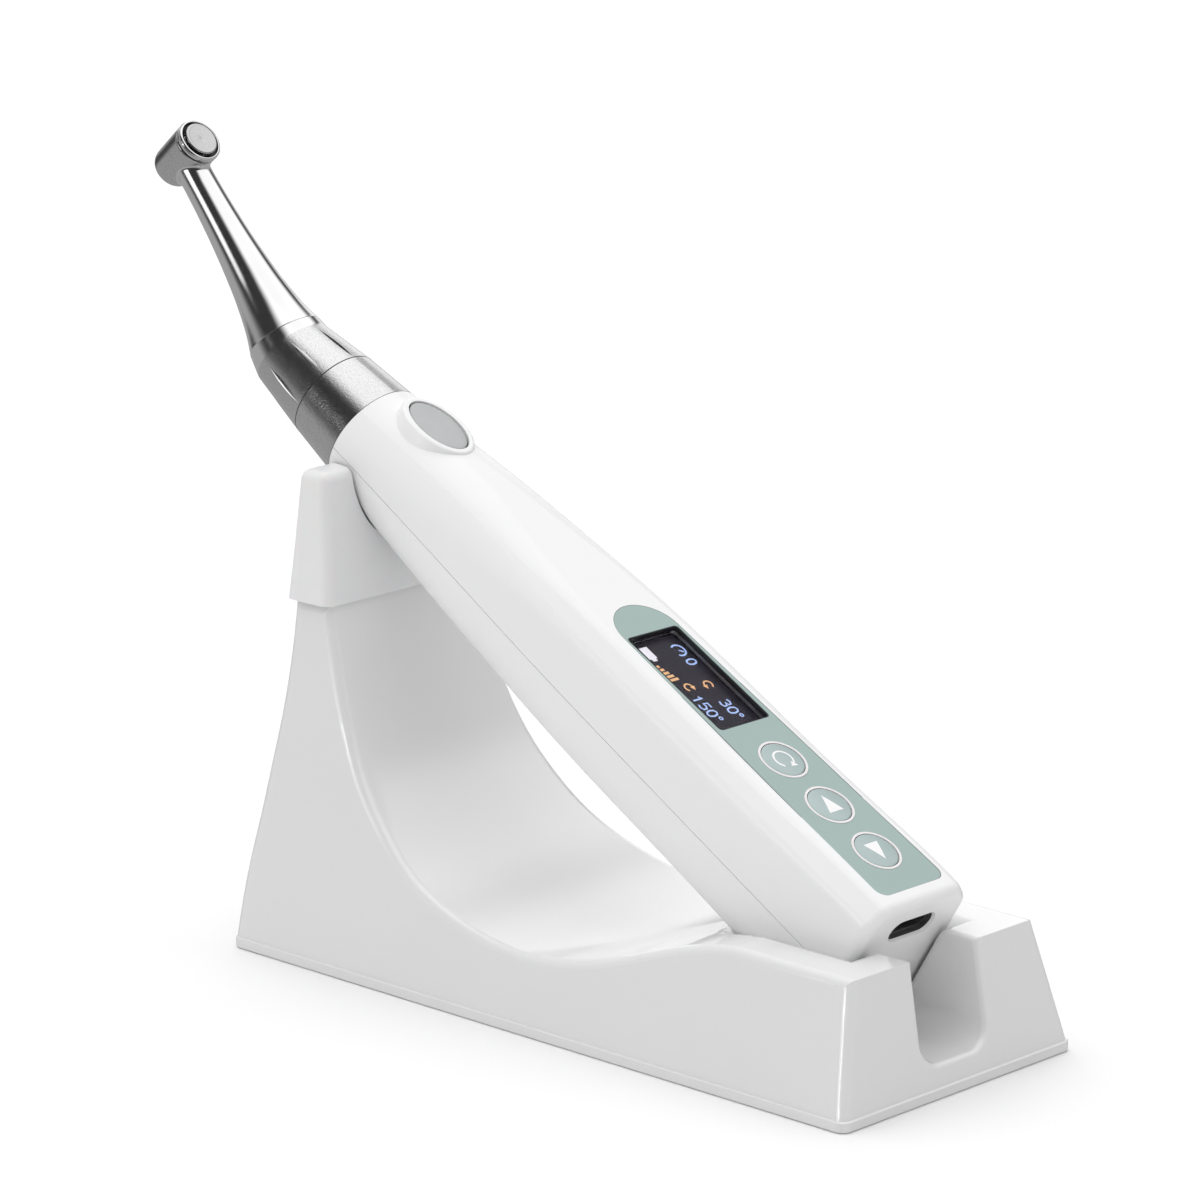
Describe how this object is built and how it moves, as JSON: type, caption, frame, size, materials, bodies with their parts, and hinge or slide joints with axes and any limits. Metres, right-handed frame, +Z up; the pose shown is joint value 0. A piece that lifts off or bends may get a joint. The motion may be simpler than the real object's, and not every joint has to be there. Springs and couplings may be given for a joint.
{
  "type": "endodontic motor",
  "caption": "Cordless endodontic motor: bent steel contra-angle on a slim white handpiece with a display and keys, leaning in a charging stand.",
  "frame": {"origin": "centre of the stand's footprint on the surface it stands on", "axes": "+Z up; +X towards the stand's cable notch and the handpiece's tail; +Y to the left when looking along +X"},
  "size_m": [0.1773, 0.0558, 0.13],
  "materials": {
    "white_shell": "fine satin gloss",
    "stand_white": "satin gloss",
    "cap_silicone": "soft matt silicone",
    "pad_rubber": "matt",
    "ballast_iron": "rough cast",
    "screw_steel": "zinc plated",
    "panel_film": "fine matt film",
    "ring_white": "printed, raised",
    "key_grey": "matt silicone",
    "switch_grey": "matt",
    "window_clear": "clear hard coat",
    "display_dark": "display glass",
    "black_plastic": "moulded",
    "board_green": "solder mask",
    "flex_amber": "film",
    "nickel": "nickel plated",
    "cell_sleeve": "shrink sleeve",
    "satin_steel": "fine satin",
    "polished_steel": "polished",
    "bearing_steel": "ground",
    "copper_winding": "enamelled wire",
    "magnet_black": "coated",
    "oring_black": "matt",
    "gear_steel": "hardened"
  },
  "bodies": {
    "stand": {"stand_shell": "stand_white", "stand_base_plate": "stand_white", "stand_pad": "pad_rubber", "stand_screws": "screw_steel", "stand_ballast": "ballast_iron", "cradle_cap": "cap_silicone"},
    "handpiece": {"upper_shell": "white_shell", "lower_shell": "white_shell", "shell_screws": "screw_steel", "control_overlay": "panel_film", "key_rings": "ring_white", "display_window": "window_clear", "display_module": "display_dark", "display_frame": "black_plastic", "main_pcb": "board_green", "tact_switches": "nickel", "switch_flex": "flex_amber", "usb_receptacle": "nickel", "usb_tongue": "black_plastic", "battery_cell": "cell_sleeve", "inner_chassis": "black_plastic", "buzzer": "black_plastic", "motor_can": "satin_steel", "motor_bearings": "bearing_steel", "motor_stator": "copper_winding", "motor_nose": "polished_steel", "nose_orings": "oring_black", "front_collar": "satin_steel"},
    "main_switch": {"main_switch": "switch_grey"},
    "key_set": {"key_set": "key_grey"},
    "key_up": {"key_up": "key_grey"},
    "key_down": {"key_down": "key_grey"},
    "rotor": {"motor_shaft": "gear_steel", "rotor_magnet": "magnet_black"},
    "contra_angle": {"grip_sleeve": "satin_steel", "neck_housing": "polished_steel", "drive_bearings": "bearing_steel", "head_cap": "polished_steel", "head_bearings": "bearing_steel", "bearing_spacer": "satin_steel", "button_spring": "nickel"},
    "input_gear": {"input_gear": "gear_steel"},
    "neck_shaft": {"neck_shaft": "gear_steel"},
    "chuck": {"chuck_spindle": "bearing_steel", "crown_gear": "gear_steel"},
    "push_button": {"push_button": "satin_steel"}
  },
  "joints": [
    {"name": "handpiece_lift", "type": "slide", "parent": "stand", "child": "handpiece", "axis": [0, 0, 1], "range_m": [0, 0.12]},
    {"name": "contra_angle_pull", "type": "slide", "parent": "handpiece", "child": "contra_angle", "axis": [-0.8642, 0, 0.5032], "range_m": [0, 0.03]},
    {"name": "main_switch_press", "type": "slide", "parent": "handpiece", "child": "main_switch", "axis": [-0.5032, 0, -0.8642], "range_m": [0, 0.0003], "stiffness_N_per_m": 2000, "springref_m": -0.0005},
    {"name": "key_set_press", "type": "slide", "parent": "handpiece", "child": "key_set", "axis": [-0.4827, 0, -0.8758], "range_m": [0, 0.0003], "stiffness_N_per_m": 2000, "springref_m": -0.0005},
    {"name": "key_up_press", "type": "slide", "parent": "handpiece", "child": "key_up", "axis": [-0.4827, 0, -0.8758], "range_m": [0, 0.0003], "stiffness_N_per_m": 2000, "springref_m": -0.0005},
    {"name": "key_down_press", "type": "slide", "parent": "handpiece", "child": "key_down", "axis": [-0.4827, 0, -0.8758], "range_m": [0, 0.0003], "stiffness_N_per_m": 2000, "springref_m": -0.0005},
    {"name": "motor_spin", "type": "hinge", "parent": "handpiece", "child": "rotor", "pos_m": [-0.06089, 0, 0.08318], "axis": [0.8642, 0, -0.5032], "continuous": true},
    {"name": "input_spin", "type": "hinge", "parent": "contra_angle", "child": "input_gear", "pos_m": [-0.07644, 0, 0.09223], "axis": [0.8642, 0, -0.5032], "continuous": true},
    {"name": "neck_spin", "type": "hinge", "parent": "contra_angle", "child": "neck_shaft", "pos_m": [-0.07973, 0, 0.09415], "axis": [0.6533, 0, -0.7571], "continuous": true},
    {"name": "chuck_spin", "type": "hinge", "parent": "contra_angle", "child": "chuck", "pos_m": [-0.1054, 0, 0.1239], "axis": [0.7571, 0, 0.6533], "continuous": true},
    {"name": "button_press", "type": "slide", "parent": "contra_angle", "child": "push_button", "axis": [-0.7571, 0, -0.6533], "range_m": [0, 0.0005], "stiffness_N_per_m": 3000, "springref_m": -0.0005}
  ],
  "couplings": [
    {"joint": "input_spin", "follows": "motor_spin", "ratio": 1},
    {"joint": "neck_spin", "follows": "motor_spin", "ratio": 1},
    {"joint": "chuck_spin", "follows": "motor_spin", "ratio": 0.5}
  ]
}
